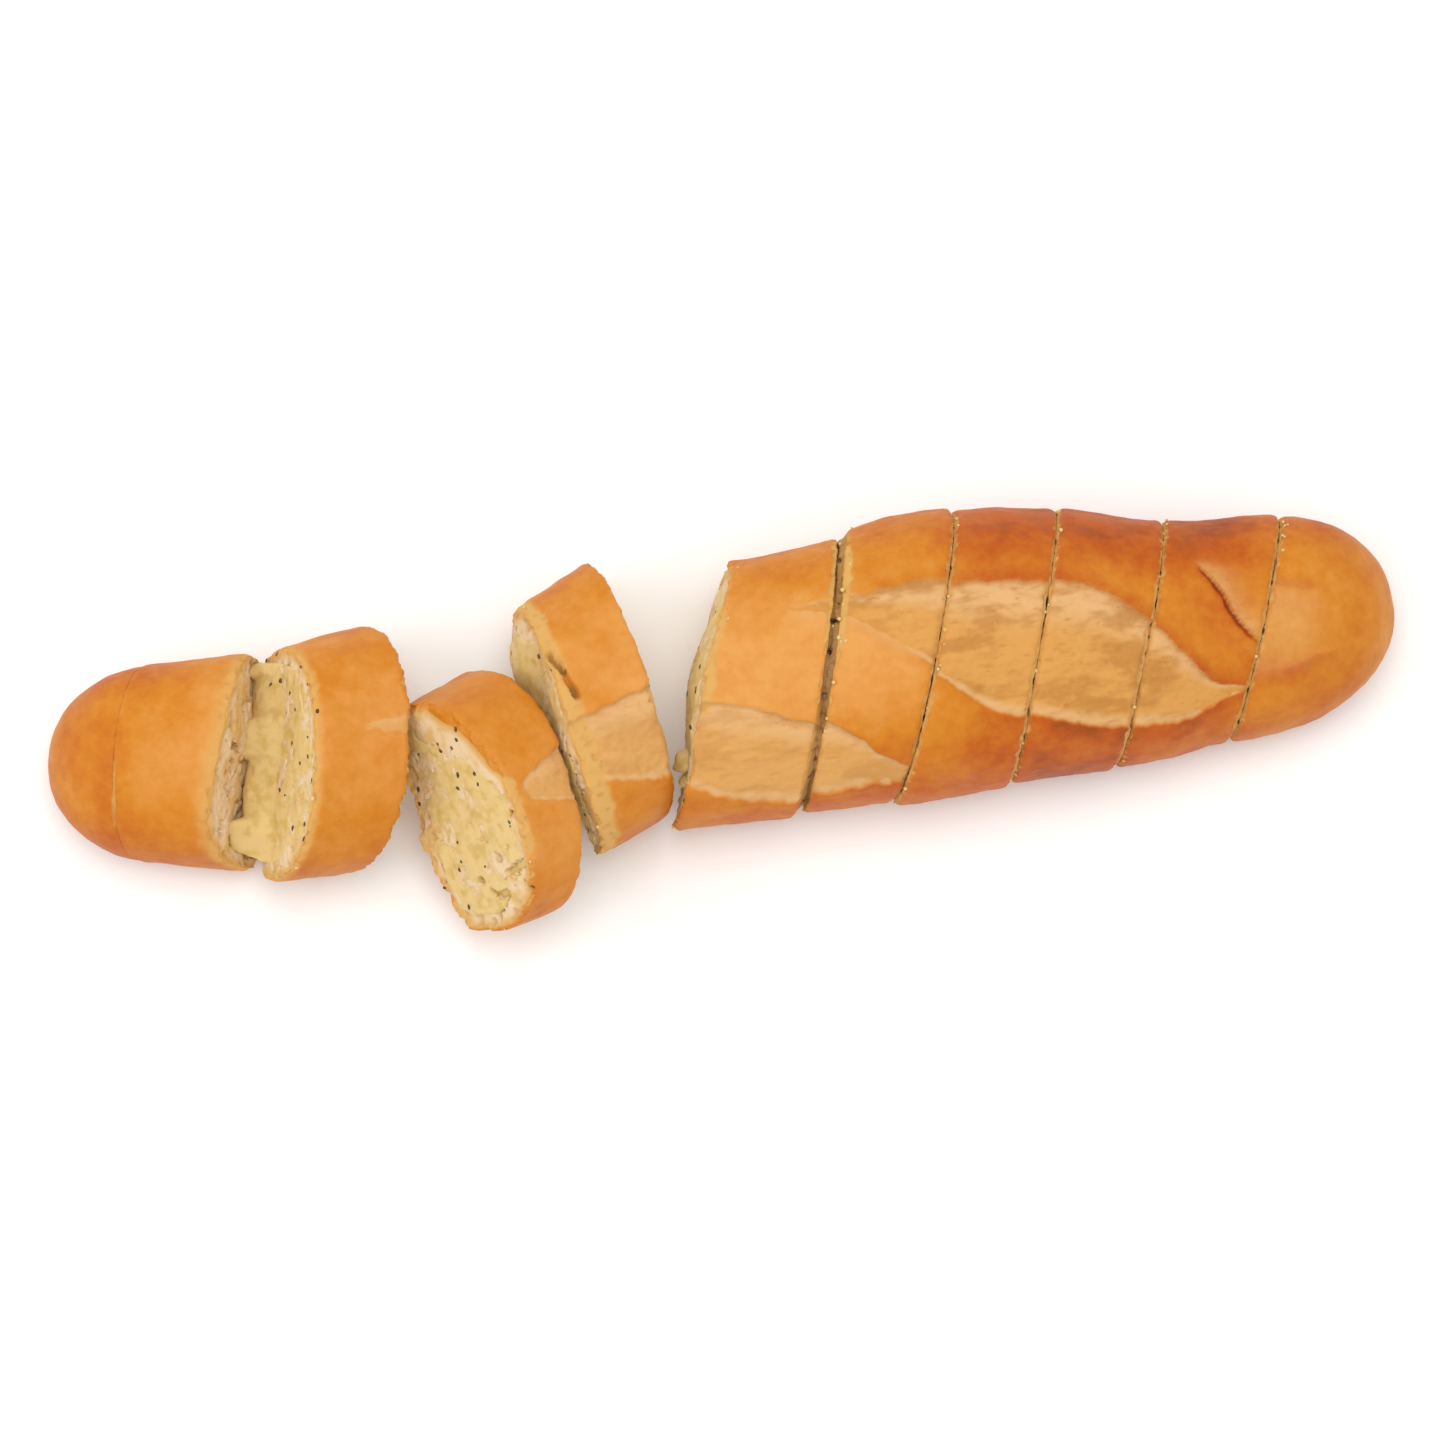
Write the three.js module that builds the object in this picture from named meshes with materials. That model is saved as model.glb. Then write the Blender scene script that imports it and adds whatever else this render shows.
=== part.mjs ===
// Garlic bread: a short baguette cut across into eleven pieces, with garlic butter spread in the cuts.
// The left heel and the first slice stand where they were cut, the next three slices have been pulled
// apart and lean on each other like dominoes, and the last six pieces still stand together as a loaf.
//
// Millimetres, +Z up. +X runs along the standing part of the loaf towards its right heel, +Y towards its
// far side, and the origin is on the board, under the middle of the whole arrangement.
import * as THREE from "three";
import { mergeVertices } from "three/addons/utils/BufferGeometryUtils.js";

// ---------------------------------------------------------------- the uncut loaf
const LOAF_LENGTH = 277;
const LEFT_HEEL_ROUNDING = 24; // length over which the left end rounds off
const RIGHT_HEEL_ROUNDING = 36; // the right end is longer and more pointed
const ROUNDING_POWER = 2.3; // 2 is an ellipse, more is blunter
const TIP_INSET = 0.15; // the outermost ring of a heel, just short of the very tip
const HEIGHT_TO_HALF_WIDTH = 1.44;
const GREATEST_HEIGHT = 46;
const WAIST = 0.38; // height of the widest point, as a share of the loaf's height
const SIDE_POWER = 0.92; // exponents of the rounded cross-section: 1 is an ellipse, less is fuller
const DOME_POWER = 0.95;
const SOLE_POWER = 0.38;
const SOLE_PRESS = 1.04; // more than 1 presses the middle of the sole flat, as the baking tray does
const HEEL_LIFT = 5; // how far the sole curls up off the tray at the very tips

// Half the loaf's width, and how far its middle line bows to the far side, at stations along its length.
const HALF_WIDTH = curve([
  [0, 19.5],
  [50, 25],
  [95, 28.4],
  [130, 29.2],
  [155, 30.8],
  [170, 31.8],
  [200, 30.2],
  [222, 27],
  [240, 24.6],
  [277, 24.6],
]);
const BOW = curve([
  [0, 0],
  [117, 0],
  [145, 0.5],
  [165, 2],
  [185, 2.9],
  [200, 2.2],
  [222, 0.2],
  [245, 0.7],
  [277, 3],
]);

// ---------------------------------------------------------------- the cuts and the slices
// A cut is where x = at + skew * y + lean * z + twist * y * z in the loaf's own frame: skew turns the knife
// from straight across, lean tips it from upright, and twist turns it further the higher it is.
const cut = (at, skew, lean, twist = 0) => ({ at, skew, lean, twist });
const KNIFE_SKEW = 0.28; // the usual skew, which a loose slice tips about

// Each piece has its left and right cut. A piece that stands where it was cut may be nudged a little.
// A loose piece instead has where it now lies: the place of its sole's middle, its turn about the
// vertical, and how far it has tipped to the right and rolled over, all in degrees.
const PIECES = [
  { name: "left_heel", right: cut(24.4, 0.08, -0.24), at: [-18.3, 2.1], turn: -7 },
  { name: "slice_1", left: cut(25.6, 0.08, -0.24), right: cut(48.6, 0, -0.26, 0.0055), at: [6.4, -0.9], turn: -7 },
  { name: "slice_2", left: cut(55.4, 0.23, 0), right: cut(73, 0.23, 0.11), at: [24.4, -2.8], turn: 6.5, tip: 26 },
  { name: "slice_3", left: cut(74, 0, -0.08), right: cut(92.5, 0.1, -0.14), at: [58.9, -17.2], turn: 15, tip: 41, roll: 8 },
  { name: "slice_4", left: cut(96, 0.26, -0.08), right: cut(113.8, 0.27, -0.02), at: [91.2, -1], turn: 27.5, tip: 11.5 },
  { name: "slice_5", left: cut(117.4, 0.34, 0.08), right: cut(142.7, 0.27, 0.07), nudge: [0, -0.4] },
  { name: "slice_6", left: cut(145.1, 0.27, 0.07), right: cut(165.7, 0.31, 0.1), nudge: [0, 0.6] },
  { name: "slice_7", left: cut(167.2, 0.31, 0.1), right: cut(192.2, 0.3, 0.02), nudge: [0, -0.4] },
  { name: "slice_8", left: cut(194, 0.3, 0.02), right: cut(216.5, 0.32, 0.04), nudge: [0, 0] },
  { name: "slice_9", left: cut(218.2, 0.32, 0.04), right: cut(243.1, 0.35, 0.02), nudge: [0, 0.1] },
  { name: "right_heel", left: cut(244.9, 0.35, 0.02), nudge: [0, -0.5] },
];

// ---------------------------------------------------------------- the garlic butter
const BUTTER_GAP = 0.32; // air left between a butter layer and the crumb it sits on
const BUTTER_THICKNESS = 1.1;
const BUTTER_INSET = 4.2; // how far the butter stops short of the crust
const BUTTER_WAVE = 1.6; // how far its edge wanders in and out

// ---------------------------------------------------------------- mesh fineness
const RINGS = 7; // steps along a slice
const HEEL_RINGS = 14; // steps along a heel, closer together towards its tip
const SIDES = 56; // steps round the crust
const BUTTER_SIDES = 48;

// ---------------------------------------------------------------- materials
const crust = new THREE.MeshStandardMaterial({ color: "#d9883a", roughness: 0.55, metalness: 0 });
const butter = new THREE.MeshStandardMaterial({ color: "#d8b25a", roughness: 0.3, metalness: 0 });

/** A smooth function of x through hand-set stations, flat beyond its ends. */
function curve(stations) {
  const spline = new THREE.SplineCurve(stations.map(([x, y]) => new THREE.Vector2(x, y)));
  const samples = spline.getPoints(40 * stations.length);
  return (x) => {
    const after = samples.findIndex((p) => p.x >= x);
    if (after < 0) return samples.at(-1).y;
    if (after === 0) return samples[0].y;
    const [p, q] = [samples[after - 1], samples[after]];
    return THREE.MathUtils.mapLinear(x, p.x, q.x, p.y, q.y);
  };
}

/** How much of its full width the loaf has at a share t of the way in from a tip. */
function rounding(t) {
  return t >= 1 ? 1 : Math.sqrt(1 - Math.pow(1 - t, ROUNDING_POWER));
}

const signedPower = (v, power) => Math.sign(v) * Math.pow(Math.abs(v), power);

/** The point of the crust at a distance along the loaf and an angle round it, 90 degrees being the top. */
function crustPoint(along, angle) {
  const fromLeft = along / LEFT_HEEL_ROUNDING;
  const fromRight = (LOAF_LENGTH - along) / RIGHT_HEEL_ROUNDING;
  const halfWidth = HALF_WIDTH(along) * rounding(fromLeft) * rounding(fromRight);
  const height = Math.min(HEIGHT_TO_HALF_WIDTH * halfWidth, GREATEST_HEIGHT);
  const waist = WAIST * height;
  const sine = Math.abs(Math.sin(angle));
  const y = halfWidth * signedPower(Math.cos(angle), SIDE_POWER);
  const dome = waist + (height - waist) * Math.pow(sine, DOME_POWER);
  const sole = Math.max(0, waist * (1 - SOLE_PRESS * Math.pow(sine, SOLE_POWER)));
  const lift = HEEL_LIFT * Math.max(0, 1 - fromLeft, 1 - fromRight) ** 2;
  return new THREE.Vector3(along, y + BOW(along), (Math.sin(angle) >= 0 ? dome : sole) + lift);
}

/** The same, where a cut meets the crust at that angle: found by walking along the crust to the plane. */
function cutPoint({ at, skew, lean, twist }, angle) {
  let point = crustPoint(at, angle);
  for (let step = 0; step < 12; step++) {
    const along = at + skew * point.y + lean * point.z + twist * point.y * point.z;
    point = crustPoint(THREE.MathUtils.clamp(along, TIP_INSET, LOAF_LENGTH - TIP_INSET), angle);
  }
  return point;
}

/** One piece of bread between its cuts, in the loaf's frame: a closed barrel moved onto the crust. */
function breadGeometry({ left, right }) {
  const heel = !left || !right;
  const rings = heel ? HEEL_RINGS : RINGS;
  const barrel = new THREE.CylinderGeometry(1, 1, 1, SIDES, rings);
  const leftTip = cut(TIP_INSET, 0, 0);
  const rightTip = cut(LOAF_LENGTH - TIP_INSET, 0, 0);
  const [start, end] = [left ?? leftTip, right ?? rightTip];
  const position = barrel.getAttribute("position");
  for (let i = 0; i < position.count; i++) {
    const [x, y, z] = [position.getX(i), position.getY(i), position.getZ(i)];
    const share = y + 0.5; // 0 at the left cut, 1 at the right
    // Towards a tip the rings crowd together, because the crust turns in fast there.
    const eased = left ? (right ? share : 1 - (1 - share) ** 2) : share ** 2;
    const mix = (key) => THREE.MathUtils.lerp(start[key], end[key], eased);
    const plane = cut(mix("at"), mix("skew"), mix("lean"), mix("twist"));
    const onAxis = x * x + z * z < 0.25;
    const point = onAxis ? middleOfCut(plane) : cutPoint(plane, Math.atan2(x, z));
    position.setXYZ(i, point.x, point.y, point.z);
  }
  return closed(barrel);
}

/** The middle of a cut face, half way between its top and its sole. */
function middleOfCut(plane) {
  return cutPoint(plane, Math.PI / 2).add(cutPoint(plane, -Math.PI / 2)).multiplyScalar(0.5);
}

/** A butter layer spread on a piece's left cut face: a thin plate with a wandering edge. */
function butterGeometry({ left }, thickness, phase) {
  const plate = new THREE.CylinderGeometry(1, 1, 1, BUTTER_SIDES, 1);
  const position = plate.getAttribute("position");
  const middle = middleOfCut(left);
  const outward = new THREE.Vector3(-1, left.skew, left.lean).normalize();
  for (let i = 0; i < position.count; i++) {
    const [x, y, z] = [position.getX(i), position.getY(i), position.getZ(i)];
    const point = middle.clone();
    if (x * x + z * z > 0.25) {
      const angle = Math.atan2(x, z);
      const edge = cutPoint(left, angle).sub(middle);
      const wave = Math.sin(3 * angle + phase) + 0.6 * Math.sin(7 * angle + 2 * phase);
      point.addScaledVector(edge.clone().normalize(), edge.length() - BUTTER_INSET + BUTTER_WAVE * wave);
    }
    point.addScaledVector(outward, BUTTER_GAP + (y < 0 ? 0 : thickness));
    position.setXYZ(i, point.x, point.y, point.z);
  }
  return closed(plate);
}

/** Keeps only positions and joins the vertices that meet, so that the mesh is one closed skin facing out. */
function closed(geometry) {
  geometry.deleteAttribute("normal");
  geometry.deleteAttribute("uv");
  const merged = mergeVertices(geometry, 1e-4);
  if (volume(merged) < 0) merged.index.array.reverse();
  return merged;
}

/** Six times the signed volume of a closed mesh: negative when its faces point inwards. */
function volume(geometry) {
  const position = geometry.getAttribute("position");
  const corner = (k) => new THREE.Vector3().fromBufferAttribute(position, geometry.index.getX(k));
  let sum = 0;
  for (let k = 0; k < geometry.index.count; k += 3) {
    sum += corner(k).dot(corner(k + 1).cross(corner(k + 2)));
  }
  return sum;
}

function named(name, geometry, material) {
  const mesh = new THREE.Mesh(geometry, material);
  mesh.name = name;
  return mesh;
}

/** A piece with its butter, turned, tipped and set down where it lies, with its lowest point on the board. */
function place(piece, meshes) {
  const { left, right, nudge = [0, 0], turn = 0, tip = 0, roll = 0 } = piece;
  const soleMiddle = ((left?.at ?? 0) + (right?.at ?? LOAF_LENGTH)) / 2;
  const at = piece.at ?? [soleMiddle + nudge[0], nudge[1]];
  const tipAxis = new THREE.Vector3(KNIFE_SKEW, 1, 0).normalize();
  const rollAxis = new THREE.Vector3(1, -KNIFE_SKEW, 0).normalize();
  const spin = (axis, degrees) =>
    new THREE.Quaternion().setFromAxisAngle(axis, THREE.MathUtils.degToRad(degrees));
  const group = new THREE.Group();
  for (const mesh of meshes) {
    mesh.geometry.translate(-soleMiddle, 0, 0);
    group.add(mesh);
  }
  group.quaternion
    .copy(spin(new THREE.Vector3(0, 0, 1), turn))
    .multiply(spin(rollAxis, roll))
    .multiply(spin(tipAxis, tip));
  const lowest = new THREE.Box3().setFromObject(group, true).min.z;
  group.position.set(at[0], at[1], -lowest);
  return group;
}

/** The butter between two pieces that stand together is no thicker than their gap allows. */
function butterThickness(before, piece) {
  const stillTogether = !before.tip && !piece.tip && before.turn === piece.turn;
  const gap = stillTogether ? piece.left.at - before.right.at : Infinity;
  return Math.min(BUTTER_THICKNESS, gap - 2.6 * BUTTER_GAP);
}

const loaf = new THREE.Group();
PIECES.forEach((piece, i) => {
  const meshes = [named(piece.name, breadGeometry(piece), crust)];
  if (piece.left) {
    const thickness = butterThickness(PIECES[i - 1], piece);
    meshes.push(named(`garlic_butter_${i}`, butterGeometry(piece, thickness, i), butter));
  }
  loaf.add(place(piece, meshes));
});

// The origin goes on the board, under the middle of the whole arrangement.
const bounds = new THREE.Box3().setFromObject(loaf, true);
const middle = bounds.getCenter(new THREE.Vector3());
loaf.position.set(-middle.x, -middle.y, -bounds.min.z);

export default loaf;
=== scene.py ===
"""Garlic bread: a short baguette cut across on the slant, with herb and garlic butter in its cuts.

Each piece of bread starts as a copy of its own solid. The copy is remeshed finely, its crust is dented,
scored and torn where the loaf is, its cut faces are roughened into open crumb, and one baked-bread
material colours all of it from how deep each point lies under the crust.
"""

import math
import random
import bpy
import numpy as np
from bpy.props import FloatProperty, FloatVectorProperty, IntProperty, PointerProperty
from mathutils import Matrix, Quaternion, Vector, noise
from mathutils.bvhtree import BVHTree


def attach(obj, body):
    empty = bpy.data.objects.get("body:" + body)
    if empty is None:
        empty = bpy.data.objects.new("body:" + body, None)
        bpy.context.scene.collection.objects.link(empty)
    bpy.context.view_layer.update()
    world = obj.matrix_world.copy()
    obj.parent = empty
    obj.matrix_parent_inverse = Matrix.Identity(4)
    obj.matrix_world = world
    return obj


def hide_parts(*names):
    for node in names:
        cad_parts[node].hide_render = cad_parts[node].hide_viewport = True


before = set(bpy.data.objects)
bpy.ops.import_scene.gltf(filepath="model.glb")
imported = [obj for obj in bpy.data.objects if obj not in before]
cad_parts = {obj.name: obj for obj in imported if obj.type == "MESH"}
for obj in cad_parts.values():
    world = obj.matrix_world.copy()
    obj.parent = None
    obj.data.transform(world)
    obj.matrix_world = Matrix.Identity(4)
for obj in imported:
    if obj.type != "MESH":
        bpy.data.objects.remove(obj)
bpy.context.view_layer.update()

bl_info = {
    "name": "Garlic bread",
    "version": (1, 0, 0),
    "blender": (4, 5, 0),
    "location": "3D View > Sidebar > Garlic bread",
    "description": "Makes a sliced, buttered baguette with its crust, scores, crumb, butter and herbs",
    "category": "Object",
}

MM = 0.001

# ---------- where the pieces lie
# The loaf's own frame is in millimetres: x runs along the uncut loaf from its left tip, y across it to
# the far side, z up from its sole. Its left tip stands at this point of the row frame.
LOAF_TIP = Vector((-123.1526, 6.4891, 0.0))
LOAF_LENGTH = 277.0
KNIFE_SKEW = 0.28


class Cut:
    """A knife cut: x = at + skew * y + lean * z + twist * y * z in the loaf's own frame."""

    def __init__(self, at, skew, lean, twist=0.0):
        self.at, self.skew, self.lean, self.twist = at, skew, lean, twist

    def distance(self, points):
        """How far points lie past the cut along the loaf, in millimetres."""
        x, y, z = points.T
        return x - (self.at + self.skew * y + self.lean * z + self.twist * y * z)

    def direction(self):
        """Square to the cut, towards the right end of the loaf."""
        return Vector((1, -self.skew, -self.lean)).normalized()


class Piece:
    """One piece of bread: its two cuts, where the middle of its sole lies or how far it was nudged, and in
    degrees its turn about the vertical, how far it tips to the right and how far its far side rolls up."""

    def __init__(self, left=None, right=None, at=None, nudge=(0, 0), turn=0, tip=0, roll=0):
        self.left, self.right = left, right
        start = left.at if left else 0.0
        end = right.at if right else LOAF_LENGTH
        self.middle = (start + end) / 2
        self.at = at or (self.middle + nudge[0], nudge[1])
        self.spin = (
            Quaternion((0, 0, 1), math.radians(turn))
            @ Quaternion(Vector((1, -KNIFE_SKEW, 0)).normalized(), math.radians(roll))
            @ Quaternion(Vector((KNIFE_SKEW, 1, 0)).normalized(), math.radians(tip))
        ).to_matrix()

    def settle(self, points):
        """Finds how high the piece was lifted to stand on the board, from its solid's row-frame points."""
        self.lift = 0.0
        self.lift = self.to_loaf(points)[:, 2].min() / self.spin[2][2]

    def to_loaf(self, points):
        """Row-frame points in metres, as points of the uncut loaf in millimetres."""
        rotation = np.array(self.spin)
        place = np.array((self.at[0], self.at[1], self.lift)) + np.array(LOAF_TIP)
        return (points / MM - place) @ rotation + np.array((self.middle, 0, 0))

    def turned(self, directions):
        """Directions in the loaf's frame, turned into the row frame."""
        return directions @ np.array(self.spin).T


PIECES = {
    "left_heel": Piece(right=Cut(24.4, 0.08, -0.24), at=(-18.3, 2.1), turn=-7),
    "slice_1": Piece(Cut(25.6, 0.08, -0.24), Cut(48.6, 0, -0.26, 0.0055), (6.4, -0.9), turn=-7),
    "slice_2": Piece(Cut(55.4, 0.23, 0), Cut(73, 0.23, 0.11), (24.4, -2.8), turn=6.5, tip=26),
    "slice_3": Piece(Cut(74, 0, -0.08), Cut(92.5, 0.1, -0.14), (58.9, -17.2), turn=15, tip=41, roll=8),
    "slice_4": Piece(Cut(96, 0.26, -0.08), Cut(113.8, 0.27, -0.02), (91.2, -1), turn=27.5, tip=11.5),
    "slice_5": Piece(Cut(117.4, 0.34, 0.08), Cut(142.7, 0.27, 0.07), nudge=(0, -0.4)),
    "slice_6": Piece(Cut(145.1, 0.27, 0.07), Cut(165.7, 0.31, 0.1), nudge=(0, 0.6)),
    "slice_7": Piece(Cut(167.2, 0.31, 0.1), Cut(192.2, 0.3, 0.02), nudge=(0, -0.4)),
    "slice_8": Piece(Cut(194, 0.3, 0.02), Cut(216.5, 0.32, 0.04)),
    "slice_9": Piece(Cut(218.2, 0.32, 0.04), Cut(243.1, 0.35, 0.02), nudge=(0, 0.1)),
    "right_heel": Piece(Cut(244.9, 0.35, 0.02), nudge=(0, -0.5)),
}
# These still stand where they were cut.
STANDING = ("slice_5", "slice_6", "slice_7", "slice_8", "slice_9", "right_heel")


# ---------- the scores, seen from above the loaf
class Score:
    """A leaf between its back edge, where the crust curls up into an ear, and its front edge. Both edges run
    left to right as (x, y) in the loaf's frame. The skin dips by depth, and the ear stands up by ear. Before
    x = soft_before it is shallower and soft in front. Show is how clearly it shows, fade how long its right
    end is, toast how brown its skin is, and blur how much softer its edges are."""

    def __init__(
        self, pieces, back, front, depth, ear, soft_before=0.0, show=1.0, fade=2.5, toast=1.0, blur=0.0
    ):
        self.pieces, self.back, self.front = pieces, back, front
        self.depth, self.ear, self.soft_before = depth, ear, soft_before
        self.show, self.fade, self.toast, self.blur = show, fade, toast, blur


SCORES = [
    Score(
        ("slice_2",),
        back=[(66.5, 4.3), (70.3, 5.1), (74, 5.0), (80, 5.3)],
        front=[(66.5, 4.1), (70.7, 3.0), (74, 1.7), (80, 0.2)],
        depth=0.5, ear=0.2, show=0.75, toast=0.2,
    ),
    Score(
        ("slice_3",),
        back=[(73.4, 4.9), (77.6, 7.7), (84.6, 9.8), (97, 12.5)],
        front=[(73.4, 4.3), (74.9, 2.4), (80.9, 0), (86.4, -2.4), (97, -6)],
        depth=0.9, ear=0.4, toast=0.4,
    ),
    Score(
        ("slice_4",),
        back=[(84, -0.5), (92.7, -1.5), (98, -2.4), (104, -3.4), (120, -5.5)],
        front=[(84, -13), (92.1, -16), (97.1, -18.9), (102.5, -21.6), (120, -26)],
        depth=1.0, ear=0.6, toast=0.4,
    ),
    Score(
        ("slice_5", "slice_6"),
        back=[
            (104, -3), (120.6, -5.7), (130.3, -8.2), (136.6, -11), (145.7, -13.8), (152.4, -18.4),
            (155.4, -21.8), (165, -27),
        ],
        front=[
            (104, -19.5), (112.5, -22.2), (118.3, -24.2), (125.2, -26.2), (135.8, -27.6), (151.6, -27.2),
            (159.4, -27.5), (165, -27.6),
        ],
        depth=1.1, ear=0.5, toast=0.6,
    ),
    Score(
        ("slice_5", "slice_6", "slice_7", "slice_8", "slice_9"),
        back=[
            (138, 14), (146.5, 14.4), (156.5, 13.5), (168, 14.6), (181.2, 13.6), (188, 13.1),
            (198.8, 11.5), (203.8, 10.3), (209.8, 7.6), (214.5, 4.2), (220.7, -1.6), (223.6, -5.7),
            (227.6, -10.3), (230.5, -13.5), (236, -15.2), (243, -15.6),
        ],
        front=[
            (138, 13.6), (146.5, 11.5), (153, 8), (160, 2.5), (167, -3), (173.1, -8.7),
            (177.2, -12.1), (182.6, -15.4), (190.6, -17), (196.4, -18.8), (202.6, -20.5), (208.4, -21.2),
            (222.1, -21.8), (226.8, -20.4), (231.5, -18.7), (236, -16.5), (243, -16.2),
        ],
        depth=1.3, ear=0.8, soft_before=168.0,
    ),
    Score(
        ("right_heel",),
        back=[(236, 7), (246, 6.5), (262, 3)],
        front=[(236, -12), (246, -12), (262, -8)],
        depth=0.1, ear=0.0, show=0.36, fade=12.0, toast=0.2, blur=3.5,
    ),
]
# A score near the right end that never opened: the crust only folded over along this crease.
FOLD_CREASE = [(231.5, 11.5), (233.5, 8.7), (235.6, 5.0), (236.8, 1.0), (239.0, -2.7), (241.5, -6.5)]
FOLD_PIECES = ("slice_9", "right_heel")
# How far the crust right of the crease stands up, and how far from the crease.
FOLD_RISE = 0.9
FOLD_REACH = 8.0

# Where soft crumb was squeezed out past its cut: cut face, (y, z) of its middle in the loaf's frame,
# radius across it, and how far it swells.
SWELLS = [
    ("slice_4 left", (16, 16), 15, 5.0),
    ("slice_4 left", (-6, 22), 25, 4.4),
    ("slice_5 left", (2, 26), 24, 4.4),
    ("slice_5 left", (20, 16), 14, 1.8),
    ("slice_6 left", (22, 36), 15, 0.6),
    ("slice_3 left", (-6, 2), 13, 1.6),
    ("slice_2 left", (-8, 16), 16, 1.4),
    ("slice_1 right", (10, 14), 15, 1.0),
    ("slice_1 right", (2, 26), 25, 2.2),
]
# Over how many millimetres the crust thins away at a cut, where that isn't the usual crisp edge.
SOFT_RIMS = {
    "slice_1 right": 2.2,
    "slice_2 left": 1.2,
    "slice_4 left": 0.8,
    "slice_5 left": 0.6,
}
CRISP_RIM = 0.25
# Where a band of crust has flaked away along a cut: cut face, (from y, to y), and how much wider it is.
FLAKED_RIMS = [
    ("slice_5 left", (-14, 4), 1.5),
    ("slice_5 left", (5, 14), 1.0),
    ("slice_1 right", (-30, 30), 1.5),
    ("slice_2 left", (-30, 30), 0.9),
    ("slice_4 left", (8, 30), 3.0),
    ("slice_4 left", (-30, 6), 3.4),
    ("slice_5 right", (4, 30), 0.8),
    ("slice_6 left", (0, 26), 1.3),
    ("slice_3 left", (-8, 9), 1.8),
    ("left_heel right", (-17, -9), 0.5),
    ("slice_1 left", (-13, -2), 0.6),
]
# Where the crust is thicker instead, as it curls over the cut: piece, (from y, to y), how much thicker.
CURLED_RIMS = [("slice_3", (10, 27), 2.4), ("slice_5", (-30, -8), 0.8)]
# How far the bread just under the crust leans over its cut, in millimetres. On the standing pieces this
# all but closes the cuts and leaves a groove along the crust.
LIPS = {
    "left_heel right": 0.74,
    "slice_1 left": 0.74,
    "slice_5 right": 1.5,
    "slice_6 left": 1.5,
    "slice_6 right": 0.91,
    "slice_7 left": 0.91,
    "slice_7 right": 0.88,
    "slice_8 left": 0.88,
    "slice_8 right": 0.88,
    "slice_9 left": 0.88,
    "slice_9 right": 0.97,
    "right_heel left": 1.02,
}
# The groove along the crust of a cut: how much of its lean the bread loses there, from and to how deep
# under the crust, and how dark the painted shade in the groove is. The cut between slices 5 and 6 stayed
# wider open.
GROOVE = (0.55, 0.2, 1.6, 1.5)
WIDE_GROOVE = (1.0, 0.9, 3.2, 2.6)
WIDE_CUT = ("slice_5 right", "slice_6 left")
# The cut beside the left heel closed up in the oven, so its edges are hardly rounded.
CLOSED_CUT = ("left_heel right", "slice_1 left")
CLOSED_ROUNDING = 0.2
# How raggedly the crust parted at a cut, next to a loose slice, and what is usual on the standing ones.
RAGGED_STANDING = 0.55
RAGGED = {
    "left_heel right": 0.1,
    "slice_1 left": 0.1,
    "slice_1 right": 1.3,
    "slice_2 left": 1.3,
    "slice_2 right": 1.5,
    "slice_3 left": 3.0,
    "slice_4 left": 1.6,
    "slice_5 left": 2.0,
}
# Where the crumb tore open: cut face, line of (y, z), and how wide and deep it is.
CRACKS = [
    ("slice_3 left", [(-12.8, 27.5), (-12.4, 30.0), (-11.2, 32.5), (-10.8, 34.5)], 1.0, 2.6),
    ("slice_3 left", [(-17.4, 18.5), (-18.4, 21.0), (-17.8, 24.0)], 0.9, 2.4),
    ("slice_3 left", [(-9.3, 25.0), (-9.4, 25.8)], 1.0, 2.0),
    ("slice_3 left", [(-14.6, 15.5), (-14.5, 16.3)], 1.0, 2.0),
]
# Where a torn rim split open: cut face, line of (y, distance from the cut), width and depth.
SPLITS = [("slice_4 left", [(2.0, 3.4), (8.0, 2.2), (15.0, 0.8)], 0.9, 1.9)]
# Where crumb stayed closed and smooth, with no butter on it: cut face, line of (y, z) and reach.
CLOSED_LINE = [(23.0, 12.0), (21.6, 16.0), (19.7, 22.7), (14.6, 31.5), (9.4, 37.5), (4.0, 41.0)]
CLOSED_CRUMB = [("slice_3 left", CLOSED_LINE, 4.6)]
# Butter pooled in the valley between these two slices: how deep it lies as (y, depth), over how much its
# shore slopes, the stretches of y where it has slits, and how much of its depth a slit takes.
POOLED = "slice_2"
POOL_SHORE = "slice_1"
POOL_DEPTH = [(-26, 0.5), (-21, 5), (-14, 9.5), (-5, 9.5), (5, 8), (15, 6.5), (21, 4.5), (27, 0.8)]
POOL_SHOULDER = 7.0
POOL_SLITS = [(11.0, 20.5), (-11.0, 2.5)]
SLIT_DEPTH = 0.42
# How dark the hollows are on the slices whose faces butter soaked most, next to 1.
# How much of the painted shade in the hollows these slices keep, next to 1: less on the faces of the shaded
# valley between slices 1 and 2, to keep them pale.
HOLLOW_SHADE_SHARE = {"slice_1": 0.4, "slice_2": 0.6}
# Beads squeezed out at the top of a cut, next to what is usual on a loose slice.
BEAD_SHARE = {"slice_1": 0, "slice_6": 4, "slice_7": 3, "slice_8": 4, "slice_9": 4, "right_heel": 4}
# Lumps of butter squeezed out of a cut: number of the butter, middle and radii in the row frame.
LUMPS = [
    (5, (-10.4, -9.2, 25.5), (1.9, 2.6, 3.2)),
    (5, (-9.6, -12.6, 23.5), (1.5, 2.4, 3.0)),
]


# ---------- settings
def linear(code):
    """An sRGB colour such as #D9883A, as the linear red, green and blue that shaders use."""
    parts = [int(code[i : i + 2], 16) / 255 for i in (1, 3, 5)]
    return [p / 12.92 if p <= 0.04045 else ((p + 0.055) / 1.055) ** 2.4 for p in parts]


def colour(name, description, code):
    return FloatVectorProperty(
        name=name, description=description, subtype="COLOR", size=3, min=0, max=1, default=linear(code)
    )


def number(name, description, default, **settings):
    return FloatProperty(name=name, description=description, default=default, **settings)


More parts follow.
